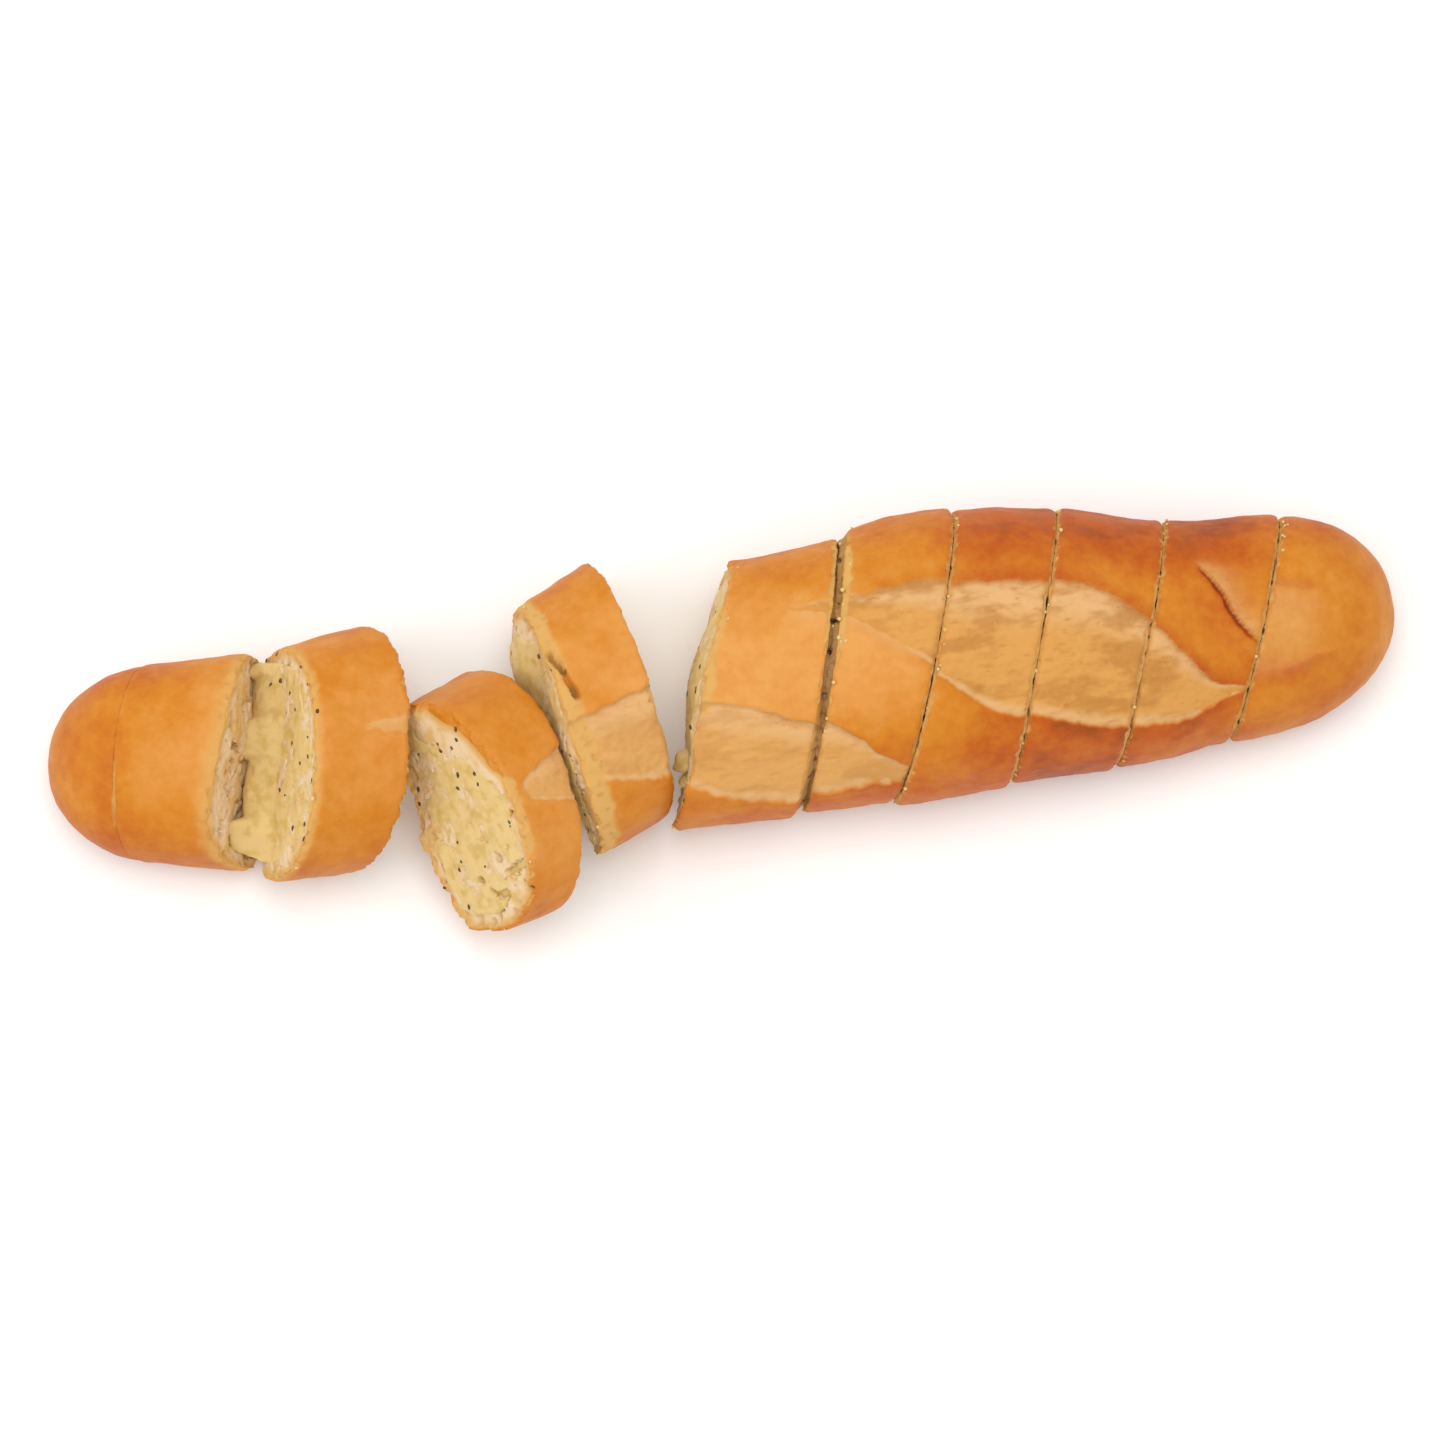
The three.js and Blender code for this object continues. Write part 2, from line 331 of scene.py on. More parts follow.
def length(name, description, millimetres):
    return number(name, description, millimetres * MM, unit="LENGTH", min=0)


def count(name, description, default):
    return IntProperty(name=name, description=description, default=default, min=0)


class BreadSettings(bpy.types.PropertyGroup):
    """The crust and the crumb."""

    mesh_grain: length("Mesh grain", "Size of the faces that the relief is modelled with", 0.42)
    crust_dent: length("Crust dents", "Depth of the broad dents in the crust", 0.5)
    crumb_wave: length("Crumb wave", "Unevenness that the knife left on a cut face", 0.9)
    crumb_grain: length("Crumb grain", "Depth of the fine open grain of the crumb", 0.5)
    pore_depth: length("Pore depth", "Depth of the larger pores", 1.8)
    # The pale crust along the top and the dark crust low on the flanks are partly real bake and partly
    # painted light: the top is painted lighter and the flanks darker, as light from above falls on them.
    crust_pale: colour("Pale crust", "The least baked crust, along the top", "#D6954A")
    crust_gold: colour("Golden crust", "Most of the crust", "#C87B1F")
    crust_deep: colour("Deep crust", "The most baked crust, by the scores and on the flanks", "#B4540C")
    crust_dark: colour("Dark crust", "Where the crust all but caught, low on the flanks", "#8E3F0C")
    score_pale: colour("Pale score", "The skin just under the ear of a score", "#D6A870")
    score_gold: colour("Score", "The later-baked skin where a score opened", "#CE944A")
    score_toast: colour("Toasted score", "Brown flecks on that skin", "#B27634")
    crumb_cream: colour("Crumb", "The inside of the bread", "#E0C49C")
    crumb_buttered: colour("Buttered crumb", "Crumb that has soaked up butter", "#D5AD6C")
    crumb_golden: colour("Golden crumb", "Crumb just under the crust", "#D0A05A")
    # Painted shade: the colour that hollows, cracks and the grooves of cuts are darkened towards.
    painted_hollow_shade: colour("Hollows", "The bottom of the pores", "#8C5A24")


class ButterSettings(bpy.types.PropertyGroup):
    """The garlic butter and its herbs."""

    film: length("Film", "How far the butter film stands off the mean cut face", 0.02)
    film_wave: length("Film wave", "How much the film rises into pools and dips out of sight", 0.5)
    beads: count("Beads", "Beads of butter and crumb squeezed out of a loose slice's cut", 15)
    flecks: count("Herb flecks", "Chopped leaves on each cut face", 24)
    fleck_size: length("Fleck size", "Usual size of a chopped leaf", 1.1)
    butter_gold: colour("Butter", "Melted and set butter", "#DABB7B")
    butter_olive: colour("Herby butter", "Butter stained by herbs", "#CBAA5E")
    leaf_green: colour("Leaf", "Dried parsley", "#54481E")
    leaf_brown: colour("Toasted leaf", "Parsley that caught in the oven", "#57391A")


class StageSettings(bpy.types.PropertyGroup):
    """The board, the lights and the camera."""

    floor: colour("Board", "The plain pale board", "#FCFBF9")
    key_power: number("Key light", "Power of the large light overhead", 3.4, unit="POWER")
    side_power: number("Side light", "Power of the light from the left", 1.7, unit="POWER")
    sky: number("Sky", "Strength of the even light from all round", 0.96)
    camera_turn: number("Camera turn", "Turn about the vertical", math.radians(-7.2), subtype="ANGLE")
    camera_rise: number("Camera rise", "Angle above the board", math.radians(82), subtype="ANGLE")
    camera_distance: length("Camera distance", "From the camera to the middle of its view", 1100)
    lens: number("Lens", "Focal length in millimetres", 122.7)


# ---------- small helpers
def only(obj):
    """Leaves obj as the one selected and active object."""
    bpy.ops.object.select_all(action="DESELECT")
    obj.hide_set(False)
    obj.select_set(True)
    bpy.context.view_layer.objects.active = obj


def copied(node, name):
    """A copy of a solid with its loose triangles joined into one skin."""
    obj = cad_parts[node].copy()
    obj.data = obj.data.copy()
    obj.name = obj.data.name = name
    obj.parent = None
    for key in list(obj.keys()):
        del obj[key]
    obj.data.materials.clear()
    bpy.context.scene.collection.objects.link(obj)
    only(obj)
    bpy.ops.object.mode_set(mode="EDIT")
    bpy.ops.mesh.select_all(action="SELECT")
    bpy.ops.mesh.remove_doubles(threshold=0.01 * MM)
    bpy.ops.object.mode_set(mode="OBJECT")
    return obj


def applied(obj, kind, **settings):
    """Adds a modifier with these settings and applies it."""
    modifier = obj.modifiers.new(kind.lower(), kind)
    for key, value in settings.items():
        setattr(modifier, key, value)
    only(obj)
    bpy.ops.object.modifier_apply(modifier=modifier.name)


def vertices(obj):
    points = np.empty(len(obj.data.vertices) * 3)
    obj.data.vertices.foreach_get("co", points)
    return points.reshape(-1, 3)


def normals(obj):
    found = np.empty(len(obj.data.vertices) * 3)
    obj.data.vertices.foreach_get("normal", found)
    return found.reshape(-1, 3)


def move_vertices(obj, points):
    obj.data.vertices.foreach_set("co", points.ravel())
    obj.data.update()


def store(obj, name, values):
    """Keeps one number per vertex for the material to read."""
    attribute = obj.data.attributes.new(name, "FLOAT", "POINT")
    attribute.data.foreach_set("value", values.astype(np.float32))


WEIGHT_STEPS = 40


def weigh(obj, name, weights):
    """A vertex group with these weights, in steps fine enough not to show."""
    group = obj.vertex_groups.new(name=name)
    steps = np.rint(np.clip(weights, 0, 1) * WEIGHT_STEPS).astype(int)
    for step in range(1, WEIGHT_STEPS + 1):
        group.add(np.nonzero(steps == step)[0].tolist(), step / WEIGHT_STEPS, "REPLACE")
    return name


def ramp(x, low, high):
    """0 below low, 1 above high, and smooth between."""
    t = np.clip((x - low) / (high - low), 0, 1)
    return t * t * (3 - 2 * t)


def fade(x, low, high):
    """1 below low, 0 above high, and smooth between."""
    return ramp(-x, -high, -low)


def banded(x, low, high, soft=2.0):
    """1 from low to high, with soft ends."""
    return ramp(x, low - soft, low + soft) * fade(x, high - soft, high + soft)


def wander(points, size, seed):
    """Smooth noise from about -1 to 1 at each point, whose bumps are about size across."""
    shift = Vector((seed, -2 * seed, 0.7 * seed))
    return np.array([noise.noise(Vector(p) / size + shift) for p in points])


def waver(points, kind):
    """How far that kind of unevenness strays at each point, in millimetres."""
    return sum(
        amount * wander(points * (*drawn, 1, 1, 1)[:3], size, seed)
        for amount, size, seed, *drawn in WAVERS[kind]
    )


def polyline_distance(points, line):
    """Distance of each flat point from a line through stations, and its side of the line: 1 is left."""
    best = np.full(len(points), np.inf)
    side = np.ones(len(points))
    for a, b in zip(np.array(line[:-1], float), np.array(line[1:], float)):
        stretch = b - a
        share = np.clip(((points - a) @ stretch) / (stretch @ stretch), 0, 1)
        offset = points - (a + share[:, None] * stretch)
        distance = np.hypot(*offset.T)
        nearer = distance < best
        best[nearer] = distance[nearer]
        cross = stretch[0] * offset[:, 1] - stretch[1] * offset[:, 0]
        side[nearer] = np.where(cross[nearer] > 0, 1, -1)
    return best, side


def along(line, x):
    """What a line of (x, value) stations says at each x."""
    stations = np.array(line, float)
    return np.interp(x, stations[:, 0], stations[:, 1])


def relief_texture(name, size, depth, **settings):
    """Clouds whose bumps are about size millimetres across."""
    texture = bpy.data.textures.new(name, "CLOUDS")
    texture.noise_scale = size * MM
    texture.noise_depth = depth
    for key, value in settings.items():
        setattr(texture, key, value)
    return texture


def pitted(texture, low, high):
    """Turns a texture into flat ground with separate pits, where it passes low to high."""
    texture.use_color_ramp = True
    elements = texture.color_ramp.elements
    elements[0].position, elements[0].color = low, (0, 0, 0, 1)
    elements[1].position, elements[1].color = high, (1, 1, 1, 1)
    return texture


# ---------- materials
NOISE, MIX, RANGE, MATH, BUMP, PRINCIPLED = (
    f"ShaderNode{kind}" for kind in ("TexNoise", "Mix", "MapRange", "Math", "Bump", "BsdfPrincipled")
)


def add(tree, kind, inputs, output=0, **settings):
    """Adds a node, sets its properties, gives each input a value or a link, and hands back one output."""
    node = tree.nodes.new(kind)
    for key, value in settings.items():
        setattr(node, key, value)
    for key, value in inputs.items():
        if isinstance(value, bpy.types.NodeSocket):
            tree.links.new(value, node.inputs[key])
        else:
            node.inputs[key].default_value = value
    return node.outputs[output] if node.outputs else None


def rgba(values):
    return (*values, 1)


def new_material(name):
    """An empty material, its node tree, and where it is on a piece."""
    material = bpy.data.materials.new(name)
    material.use_nodes = True
    tree = material.node_tree
    tree.nodes.clear()
    return material, tree, add(tree, "ShaderNodeTexCoord", {}, "Object")


def baked_wheat_bread(s):
    """Baked wheat dough. Its crust is dry, brown and faintly glazed from the oven's steam, so it takes a
    soft broad highlight. Where a score opened, the skin baked later and is paler and rougher. Inside is
    open, matte, cream-coloured crumb that butter turns yellow."""
    material, tree, place = new_material("baked_wheat_bread")
    drawn_out = add(tree, "ShaderNodeMapping", {"Vector": place, "Scale": (0.4, 1, 1)})
    settings = {key: getattr(s, key) for key in s.__annotations__}
    made = {key: rgba(value) for key, value in settings.items() if not isinstance(value, float)}
    for name in BREAD_ATTRIBUTES:
        made[name] = add(tree, "ShaderNodeAttribute", {}, "Fac", attribute_name=name)

    # Patterns: size in millimetres, detail, roughness, and the coordinates they follow.
    for name, size, detail, roughness, vector in (
        ("sweep", 32, 2, 0.5, place),
        ("mottle", 11, 4, 0.6, place),
        ("freckle", 2.6, 3, 0.6, place),
        ("speckle", 1.3, 3, 0.6, place),
        ("grain", 0.7, 2, 0.6, place),
        ("patch", 6.5, 3, 0.6, drawn_out),
        ("streak", 1.5, 3, 0.6, drawn_out),
        ("crumbs", 2.4, 2, 0.5, place),
        ("butter", 7, 3, 0.55, place),
    ):
        inputs = {"Vector": vector, "Scale": 1 / (size * MM), "Detail": detail, "Roughness": roughness}
        made[name] = add(tree, NOISE, inputs, "Fac")

    # Sums: how much of a pattern is added to what. The bake, which holds painted shade on the flanks and in
    # the fold's crease, is broken up by broad mottling and freckles.
    made["some"] = 0.4
    for name, pattern, amount, base in (
        ("bake", "sweep", 0.22, "baked_and_shaded"),
        ("bake", "mottle", 0.5, "bake"),
        ("bake", "freckle", 0.26, "bake"),
        ("toast", "browned", 0.6, "some"),
        ("ragged", "speckle", 1.4, "under_crust"),
        ("bumps", "speckle", 0.6, "grain"),
        ("bumps", "freckle", 0.8, "bumps"),
    ):
        inputs = {0: made[pattern], 1: amount, 2: made[base]}
        made[name] = add(tree, MATH, inputs, operation="MULTIPLY_ADD")

    # Shares, which rise from 0 to the last number while a value goes from one number to the next.
    for name, value, low, high, most in (
        ("gilt", "across", 0.1, 0.45, 1),
        ("patched", "patch", 0.44, 0.60, 0.66),
        ("streaked", "streak", 0.58, 0.72, 0.5),
        ("crumbed", "crumbs", 0.56, 0.72, 0.32),
        ("front", "across", 0.90, 0.97, 0.8),
        ("soaked", "butter", 0.42, 0.62, 1),
        ("ring", "under_crust", 0.6, 3.4, 1),
        ("hollow_shading", "hollow_shade", 1.0, 3.0, 0.66),
        ("open", "ragged", 0.9, 1.5, 1),
    ):
        inputs = {0: made[value], 1: low, 2: high, 4: most}
        made[name] = add(tree, RANGE, inputs, interpolation_type="SMOOTHSTEP")
    for name, other, operation in (
        ("gilt", "toast", "MULTIPLY"),
        ("patched", "browned", "MULTIPLY"),
        ("streaked", "browned", "MULTIPLY"),
        ("open", "rim", "MAXIMUM"),
    ):
        made[name] = add(tree, MATH, {0: made[name], 1: made[other]}, operation=operation)

    made["crust"] = add(tree, "ShaderNodeValToRGB", {"Fac": made["bake"]})
    stops = made["crust"].node.color_ramp.elements
    stops[0].position, stops[0].color = 0.26, made["crust_pale"]
    stops[1].position, stops[1].color = 1.0, made["crust_dark"]
    stops.new(0.55).color = made["crust_gold"]
    stops.new(0.82).color = made["crust_deep"]

    # Layers: the share of the second colour over the first. A score is pale under its ear, golden and
    # patchy across, with toasted streaks and a crisp pale front edge. Crumb is cream, yellow where butter
    # soaked in, toasted next to the crust, and darkened by painted shade in its hollows, cracks and the
    # grooves of the cuts.
    for name, share, under, over in (
        ("score", "gilt", "score_pale", "score_gold"),
        ("score", "patched", "score", "score_toast"),
        ("score", "streaked", "score", "score_toast"),
        ("score", "crumbed", "score", "crumb_golden"),
        ("score", "front", "score", "score_pale"),
        ("skin", "scored", "crust", "score"),
        ("crumb", "soaked", "crumb_cream", "crumb_buttered"),
        ("crumb", "ring", "crumb_golden", "crumb"),
        ("crumb", "hollow_shading", "crumb", "painted_hollow_shade"),
        ("surface", "open", "skin", "crumb"),
    ):
        inputs = {0: made[share], 6: made[under], 7: made[over]}
        made[name] = add(tree, MIX, inputs, 2, data_type="RGBA")

    inputs = {0: made["open"], 3: 0.5, 4: 0.85}
    roughness = add(tree, RANGE, inputs, interpolation_type="SMOOTHSTEP")
    bump = add(tree, BUMP, {"Height": made["bumps"], "Distance": 0.10 * MM, "Strength": 0.5})
    look = {
        "Base Color": made["surface"],
        "Roughness": roughness,
        "Normal": bump,
        "Specular IOR Level": 0.18,
        "Subsurface Weight": 0.08,
        "Subsurface Radius": (1.0, 0.5, 0.2),
        "Subsurface Scale": 2 * MM,
        "IOR": 1.45,
    }
    add(tree, "ShaderNodeOutputMaterial", {"Surface": add(tree, PRINCIPLED, look)})
    return material


def garlic_butter(s):
    """Butter with garlic and herbs, melted in the oven and set again: smooth, yellow, a little see-through
    at its thin edges and faintly glossy."""
    material, tree, place = new_material("melted_garlic_butter")
    stain = add(tree, NOISE, {"Vector": place, "Scale": 1 / (3 * MM), "Detail": 3}, "Fac")
    ripple = add(tree, NOISE, {"Vector": place, "Scale": 1 / (1.1 * MM), "Detail": 2}, "Fac")
    olive = add(tree, RANGE, {0: stain, 1: 0.45, 2: 0.7}, interpolation_type="SMOOTHSTEP")
    tints = {0: olive, 6: rgba(s.butter_gold), 7: rgba(s.butter_olive)}
    look = {
        "Base Color": add(tree, MIX, tints, 2, data_type="RGBA"),
        "Roughness": 0.5,
        "Specular IOR Level": 0.3,
        "Normal": add(tree, BUMP, {"Height": ripple, "Distance": 0.15 * MM, "Strength": 0.5}),
        "Subsurface Weight": 0.25,
        "Subsurface Radius": (1.0, 0.7, 0.3),
        "Subsurface Scale": 1.5 * MM,
        "IOR": 1.46,
    }
    add(tree, "ShaderNodeOutputMaterial", {"Surface": add(tree, PRINCIPLED, look)})
    return material


def chopped_parsley(s):
    """Dried, chopped leaf, baked with the bread: dull olive green, brown where it caught."""
    material, tree, place = new_material("chopped_parsley")
    patch = add(tree, NOISE, {"Vector": place, "Scale": 1 / (4 * MM), "Detail": 2}, "Fac")
    brown = add(tree, RANGE, {0: patch, 1: 0.4, 2: 0.6}, interpolation_type="SMOOTHSTEP")
    tints = {0: brown, 6: rgba(s.leaf_green), 7: rgba(s.leaf_brown)}
    tint = add(tree, MIX, tints, 2, data_type="RGBA")
    leaf = add(tree, PRINCIPLED, {"Base Color": tint, "Roughness": 0.6, "IOR": 1.45})
    add(tree, "ShaderNodeOutputMaterial", {"Surface": leaf})
    return material


# ---------- the bread
# What the bread's material reads: depth under the crust, how far a score opened, how far across it a point
# lies, how toasted its skin is, how baked the crust is with painted shade on its flanks and in the fold's
# crease, how much painted shade darkens a hollow, crack or groove, and where crust flaked off.
BREAD_ATTRIBUTES = ("under_crust", "scored", "across", "browned", "baked_and_shaded", "hollow_shade", "rim")
# How near a cut a corner of the solid has to be to lie on it.
CUT_TOLERANCE = 0.06
LOAF_HEIGHT = 46.0
# Scores stay on the top of the loaf, above this share of its height.
SCORE_FOOT = (0.30, 0.42)
# What strays from its smooth course, as sums of noise: amount, size of its bumps and seed, then a scale
# under 1 where the bumps are drawn out along the loaf.
WAVERS = {
    "score edge": [(0.55, 2.6, 3), (0.25, 1.0, 9)],
    "score skin": [(0.55, 4.0, 5, 0.45), (0.3, 1.5, 7, 0.6), (0.12, 0.8, 8)],
    "fold": [(0.3, 2.0, 11)],
    "crust edge": [(0.5, 3.4, 23), (0.28, 1.3, 29)],
    "crack": [(0.4, 1.6, 67)],
    "split": [(0.3, 1.8, 73)],
    "closed crumb": [(0.8, 4.0, 71)],
    "chips": [(1.0, 2.2, 17)],
    "nibbles": [(0.3, 0.9, 19)],
    "shore": [(0.5, 3, 41), (0.25, 1.2, 43)],
    "curd": [(0.9, 3.2, 47), (0.4, 1.4, 53)],
}
# How deep under the crust its relief still carries the bread along, and how far from a cut its does.
CRUST_CARRIES = 6.0
CUT_CARRIES = 5.0
# Each of these pairs says where something starts and is whole, or is whole and ends. First, how near a
# point is to a cut or to the crust to be on it.
SURFACE = (0.2, 0.6)
# Depths under the crust: its ragged edge, its lean over the cut, its rounded edge and its splits end, and
# the crumb's cracks, its rough grain and its large holes begin.
TEAR_UNDER = (0.4, 3.2)
LEAN_UNDER = (4.0, 7.0)
EDGE_UNDER = (0.3, 2.5)
SPLIT_UNDER = (0.3, 1.2)
CRACKS_OPEN = (0.8, 2.2)
CRUMB_OPENS = (0.9, 2.6)
HOLES_OPEN = (3.2, 5.5)
# Depth past the cut that a crack reaches. Then heights above the sole: where curled rims, dents and the
# painted shade in a groove begin. The painted shade lies from and to these depths under the crust, this
# softly.
CRACK_REACH = (0.5, 2.5)
CURL_FOOT = (14, 22)
DENT_FOOT = (0.5, 6)
GROOVE_FOOT = (6, 12)
GROOVE_SHADE = (0.5, 5.0, 0.5)
# How far from the cut the edge of the crust is rounded, and how much it loses there and where it flaked off.
ROUNDED = 1.4
EDGE_LOSS = 0.3
# How rough a flaked rim is next to open crumb, and how much of its roughness closed crumb has lost.
RIM_ROUGHNESS = 0.35
CLOSED_SMOOTH = 0.9
# The grey of a relief texture that leaves the crumb where it is, and the depth of small and large pores.
WAVE_LEVEL = 0.6
GRAIN_LEVEL = 0.3
PORE_SHARE = 0.7
HOLE_SHARE = 1.4
# How much more painted shade a crack gets than a pore of the same depth, and the deepest painted shade that
# the material tells apart.
CRACK_SHADE = 1.5
DEEPEST_HOLLOW_SHADE = 4


class Skin:
    """The crust and the cut faces of a solid, to measure how deep other points lie under them."""

    def __init__(self, solid, piece):
        points = vertices(solid)
        in_loaf = piece.to_loaf(points)
        faces = [tuple(p.vertices) for p in solid.data.polygons]
        corners = np.array([f[:3] for f in faces])
        self.trees = {}
        crust = np.ones(len(faces), bool)
        for side, cut in (("left", piece.left), ("right", piece.right)):
            if cut is None:
                continue
            on_cut = np.abs(cut.distance(in_loaf)) < CUT_TOLERANCE
            face_on_cut = on_cut[corners].all(axis=1)
            crust &= ~face_on_cut
            self.trees[side] = self.tree(points, faces, face_on_cut)
        self.trees["crust"] = self.tree(points, faces, crust)

    @staticmethod
    def tree(points, faces, keep):
        return BVHTree.FromPolygons(points.tolist(), [f for f, k in zip(faces, keep) if k])

    def depth(self, side, points):
        """Each point's distance in millimetres from that side of the skin, and the way out there."""
        found = [self.trees[side].find_nearest(p) for p in points]
        return np.array([f[3] for f in found]) / MM, np.array([f[1] for f in found])


# How far the crust is baked along the loaf, as (x, bake): its right half caught the most heat. The pale dip
# round x = 38 is a painted highlight on the top of slice 1.
BAKE_AND_HIGHLIGHT = [(0, 0.36), (14, 0.35), (25, 0.18), (38, 0.08), (50, 0.10), (75, 0.13), (105, 0.11), (130, 0.01)]
BAKE_AND_HIGHLIGHT += [(152, 0.0), (170, 0.15), (190, 0.31), (215, 0.35), (238, 0.35), (250, 0.20), (277, 0.30)]
# The flanks of the tipped slices are darkened less than the rest, as (x, share of the usual flank
# darkening).
FLANKS = [(45, 1.0), (60, 0.6), (108, 0.6), (122, 1.0)]
HALF_WIDTH = [(205, 30), (245, 25)]
# How much more the flanks are darkened than the top, partly by baking and partly by painted shade where
# light
# from above falls less: on both sides, on the near side of the left half, and on the near side by the right
# heel.
# Then what toasting and the painted shade in the fold's crease add, and how much paler the edge of the sole
# is.
FLANK_BAKE_AND_SHADE = 0.32
NEAR_LEFT_BAKE_AND_SHADE = 0.1
NEAR_RIGHT_BAKE = -0.2
TOAST_AND_CREASE_BAKE = 0.16
SOLE_BAKE = -0.25


def fold_relief(at, opened, rise, toast_and_crease_shade):
    """Adds the crust's fold along the crease of the score that never opened, with painted shade beside the
    crease.
    """
    x, y = at[:, 0], at[:, 1]
    distance, side = polyline_distance(at[:, :2], FOLD_CREASE)
    distance = distance + waver(at, "fold")
    right = (side > 0) * banded(y, -6.5, 12, 2.5)
    rise += right * (FOLD_RISE * fade(distance, 0.2, FOLD_REACH) + 0.35 * fade(distance, 0.4, 2.0))
    rise -= 0.8 * fade(distance, 0.1, 0.7) * banded(y, -6, 11)
    # Painted shade darkens the crust along the crease, on the side away from the raised crust.
    crease_shade = fade(distance, 0.2, 2.5) + 1.6 * fade(distance, 0.2, 1.1)
    folded = 0.26 * fade(distance, 1.5, FOLD_REACH) + 0.24 * fade(distance, 0.8, 3.0)
    toast_and_crease_shade = np.maximum(toast_and_crease_shade, crease_shade * (side < 0) * banded(y, -6, 11))
    return np.maximum(opened, folded * right), rise, toast_and_crease_shade


def score_relief(name, at):
    """The scores at each point of a piece: how open they are, how far across one it lies, how far the crust
    rises, how toasted the crust is with painted shade in the fold's crease, and how toasted the score's
    skin."""
    opened, crossed, rise, toast_and_crease_shade = np.zeros((4, len(at)))
    browned = np.ones(len(at))
    top = ramp(at[:, 2] / LOAF_HEIGHT, *SCORE_FOOT)
    x, y = at[:, 0], at[:, 1]
    for score in SCORES:
        if name not in score.pieces:
            continue
        start, end = score.back[0][0], score.back[-1][0]
        before = score.soft_before - x
        ragged = waver(at, "score edge")
        back = along(score.back, x) - y + ragged
        front = y - along(score.front, x) + ragged
        soft = 0.35 + 5.0 * ramp(before, 0, 9) if score.soft_before else 0.35
        soft += score.blur
        inside = ramp(back, -0.3 - score.blur, 0.45 + score.blur) * ramp(front, -soft, soft)
        inside *= ramp(x, start, start + 2.5) * ramp(end - x, 0, score.fade)
        # The skin dips most just under the ear and comes back up towards the front edge.
        width = np.maximum(along(score.back, x) - along(score.front, x), 0.5)
        across = np.clip(back / width, 0, 1)
        openness = np.clip(width / 8, 0.25, 1) * (1 - 0.55 * ramp(before, 0, 12))
        rise -= inside * openness * (score.depth * (1 - 0.55 * across) - waver(at, "score skin"))
        away = ramp(x, start, start + 12)
        lip = fade(back, -0.15, 0.35) * ramp(back, -4.5, -0.2) * ramp(front, -1, 1)
        lip *= away * ramp(end - x, 0, 10)
        rise += lip * score.ear * openness
        shoulder = fade(front, -0.4, 0.2) * ramp(front, -5, -0.2) * away * ramp(end - x, 0, 6)
        rise += 0.35 * shoulder * openness
        toast_and_crease_shade = np.maximum(toast_and_crease_shade, np.maximum(lip, shoulder))
        crossed = np.where(inside > opened, across, crossed)
        browned = np.where(inside > opened, score.toast, browned)
        opened = np.maximum(opened, score.show * inside)
    if name in FOLD_PIECES:
        opened, rise, toast_and_crease_shade = fold_relief(at, opened, rise, toast_and_crease_shade)
    return opened * top, crossed, rise * top, toast_and_crease_shade * top, browned


def here(table, face):
    """The rows of a table that are about this cut face, such as "slice_4 left", without its name."""
    return [row[1:] for row in table if row[0] == face]


def swell(face, at):
    """How far the soft crumb at each point stands out of its cut, in millimetres."""
    total = np.zeros(len(at))
    for (y, z), radius, height in here(SWELLS, face):
        total += height * fade(np.hypot(at[:, 1] - y, at[:, 2] - z), 0, radius)
    return total


def cracked(face, at):
    """How deep the crumb tore open at each point of a cut face, in millimetres."""
    deepest = np.zeros(len(at))
    for line, width, depth in here(CRACKS, face):
        distance = polyline_distance(at[:, 1:], line)[0] + waver(at, "crack")
        deepest = np.maximum(deepest, depth * fade(distance, 0.2 * width, width))
    return deepest


def split_open(face, at, distance):
    """How deep a torn rim split open at each point, in millimetres."""
    deepest = np.zeros(len(at))
    for line, width, depth in here(SPLITS, face):
        off_line = np.abs(distance - along(line, at[:, 1]) + waver(at, "split"))
        stretch = banded(at[:, 1], line[0][0], line[-1][0], 1.0) * ramp(at[:, 2], 20, 26)
        deepest = np.maximum(deepest, depth * fade(off_line, 0.2 * width, width) * stretch)
    return deepest


def closed_crumb(face, at):
    """1 where the crumb stayed closed and smooth, 0 where it is open."""
    closed = np.zeros(len(at))
    for line, reach in here(CLOSED_CRUMB, face):
        distance = polyline_distance(at[:, 1:], line)[0] + waver(at, "closed crumb")
        closed = np.maximum(closed, fade(distance, reach - 1.2, reach))
    return closed


def flaked(face, at):
    """How wide a band of crust has flaked off along a cut at each point, in millimetres."""
    chips = 0.45 if face.split()[0] in STANDING else 0.7
    width = 0.12 + chips * ramp(waver(at, "chips"), 0.1, 0.6) + waver(at, "nibbles")
    width *= min(RAGGED.get(face, 1), 1)
    for (low, high), extra in here(FLAKED_RIMS, face):
        width += extra * banded(at[:, 1], low, high)
    return width


def baked_and_shaded(at, toast_and_crease_shade):
    """How baked the crust is at each point, from about 0 to 1: partly real bake, and partly painted shade
    that makes the flanks darker than the top, where light from above falls less.
    """
    x, y, z = at.T
    flank = FLANK_BAKE_AND_SHADE + NEAR_LEFT_BAKE_AND_SHADE * fade(y, -15, -5) * fade(x, 150, 175)
    flank += NEAR_RIGHT_BAKE * fade(y, -18, -8) * banded(x, 214, 250, 6)
    bake = along(BAKE_AND_HIGHLIGHT, x) + flank * ramp(np.abs(y) / along(HALF_WIDTH, x), 0.2, 1.0) * along(FLANKS, x)
    bake += TOAST_AND_CREASE_BAKE * toast_and_crease_shade * ramp(x, 120, 180)
    bake += SOLE_BAKE * fade(z, 0.5, 4)
    return 0.86 * bake - 0.17


def textures_for_bread():
    return {
        "dents": relief_texture("crust_dents", 11, 2),
        "wave": relief_texture("knife_wave", 6, 1),
        "grain": relief_texture("crumb_grain", 0.9, 2, noise_type="HARD_NOISE"),
        "pores": pitted(relief_texture("pores", 2.1, 1), 0.60, 0.70),
        "holes": pitted(relief_texture("holes", 4.6, 1), 0.70, 0.76),
    }


